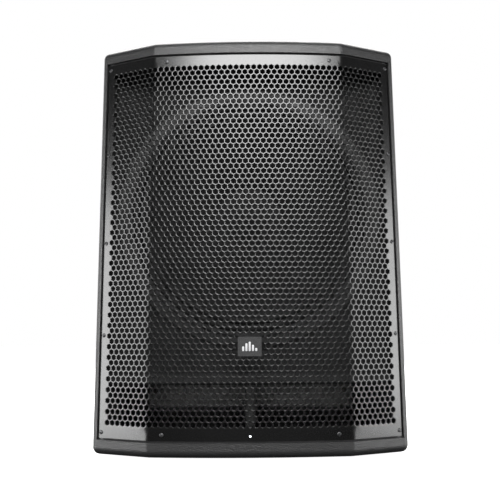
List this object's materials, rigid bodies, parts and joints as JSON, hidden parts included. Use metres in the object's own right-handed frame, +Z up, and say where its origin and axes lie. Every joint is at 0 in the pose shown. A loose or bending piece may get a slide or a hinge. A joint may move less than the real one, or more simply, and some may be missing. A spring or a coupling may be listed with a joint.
{
  "type": "pa subwoofer cabinet",
  "caption": "Powered bass cabinet with a bent hexagon-hole steel grille, bass reflex port, side handles, pole socket and a rear amplifier panel.",
  "frame": {"origin": "on the floor, under the middle of the cabinet", "axes": "+Z up, the grille faces -Y, +X to the right as seen from the front"},
  "size_m": [0.527, 0.61, 0.711],
  "materials": {
    "cabinet_paint": "textured black paint over plywood",
    "inner_wood": "black stained plywood",
    "grille_metal": "semi-gloss black powder coat on sheet steel",
    "black_screw": "black oxide",
    "badge_plate": "dark grey satin",
    "black_plastic": "matt",
    "socket_body": "satin",
    "led": "clear lens, lit white",
    "driver_frame": "black satin paint on cast aluminium",
    "cone_paper": "black doped paper",
    "surround_cloth": "doped cloth",
    "motor_steel": "black",
    "ferrite": "grey ferrite",
    "coil_copper": "enamelled copper on a polyimide former",
    "black_rubber": "matt",
    "lining_felt": "grey needled felt",
    "handle_steel": "black powder coat",
    "handle_grip": "soft black",
    "insert_steel": "zinc plated",
    "amp_plate_paint": "black powder coat",
    "heat_sink_black": "black anodised",
    "cover_steel": "zinc plated sheet steel",
    "circuit_board": "green solder mask"
  },
  "bodies": {
    "cabinet": {"amp_board": "circuit_board", "amp_cover": "cover_steel", "amp_gasket": "black_rubber", "amp_mount_frame": "inner_wood", "amp_plate": "amp_plate_paint", "amp_screws": "black_screw", "badge_bracket": "black_plastic", "bottom_panel": "cabinet_paint", "cabinet_screws": "black_screw", "caster_inserts": "insert_steel", "driver_basket": "driver_frame", "driver_bolts": "black_screw", "driver_gasket": "black_rubber", "driver_spider": "surround_cloth", "driver_surround": "surround_cloth", "driver_terminals": "black_plastic", "front_baffle": "inner_wood", "front_led": "led", "grille": "grille_metal", "grille_batten_bottom": "inner_wood", "grille_batten_top": "inner_wood", "grille_screws": "black_screw", "heat_sink": "heat_sink_black", "input_jack_a": "socket_body", "input_jack_b": "socket_body", "left_handle_dish": "handle_steel", "left_handle_grip": "handle_grip", "left_side_panel": "cabinet_paint", "lining_left": "lining_felt", "lining_right": "lining_felt", "lining_top": "lining_felt", "magnet_ring": "ferrite", "magnet_top_plate": "motor_steel", "magnet_yoke": "motor_steel", "mains_inlet": "black_plastic", "output_sockets": "socket_body", "pole_socket": "handle_steel", "port_divider": "inner_wood", "port_shelf": "inner_wood", "power_supply": "circuit_board", "power_switch_housing": "black_plastic", "rear_panel": "cabinet_paint", "right_handle_dish": "handle_steel", "right_handle_grip": "handle_grip", "right_side_panel": "cabinet_paint", "rubber_feet": "black_rubber", "speaker_lead": "black_rubber", "top_panel": "cabinet_paint", "window_brace": "inner_wood"},
    "cone_assembly": {"driver_cone": "cone_paper", "driver_dust_cap": "cone_paper", "voice_coil": "coil_copper"},
    "badge_body": {"badge": "badge_plate"},
    "rocker": {"power_rocker": "black_plastic"},
    "latch_a": {"input_latch_a": "black_plastic"},
    "latch_b": {"input_latch_b": "black_plastic"},
    "knob": {"gain_knob": "black_plastic"},
    "crossover": {"crossover_button": "black_plastic"},
    "polarity": {"polarity_button": "black_plastic"}
  },
  "joints": [
    {"name": "cone_travel", "type": "slide", "parent": "cabinet", "child": "cone_assembly", "axis": [0, -1, 0], "range_m": [-0.01, 0.01], "stiffness_N_per_m": 6000, "deforming": ["driver_surround", "driver_spider"]},
    {"name": "badge_turn", "type": "hinge", "parent": "cabinet", "child": "badge_body", "pos_m": [0, -0.3045, 0.1815], "axis": [0, -1, 0], "range_deg": [0, 90]},
    {"name": "power_rock", "type": "hinge", "parent": "cabinet", "child": "rocker", "pos_m": [0.004, 0.289, 0.334], "axis": [1, 0, 0], "range_deg": [0, 16]},
    {"name": "latch_a_press", "type": "slide", "parent": "cabinet", "child": "latch_a", "axis": [0, -1, 0], "range_m": [0, 0.002], "stiffness_N_per_m": 300},
    {"name": "latch_b_press", "type": "slide", "parent": "cabinet", "child": "latch_b", "axis": [0, -1, 0], "range_m": [0, 0.002], "stiffness_N_per_m": 300},
    {"name": "gain_turn", "type": "hinge", "parent": "cabinet", "child": "knob", "pos_m": [0.07, 0.292, 0.372], "axis": [0, -1, 0], "range_deg": [-150, 150]},
    {"name": "crossover_press", "type": "slide", "parent": "cabinet", "child": "crossover", "axis": [0, -1, 0], "range_m": [0, 0.0025], "stiffness_N_per_m": 400},
    {"name": "polarity_press", "type": "slide", "parent": "cabinet", "child": "polarity", "axis": [0, -1, 0], "range_m": [0, 0.0025], "stiffness_N_per_m": 400}
  ]
}
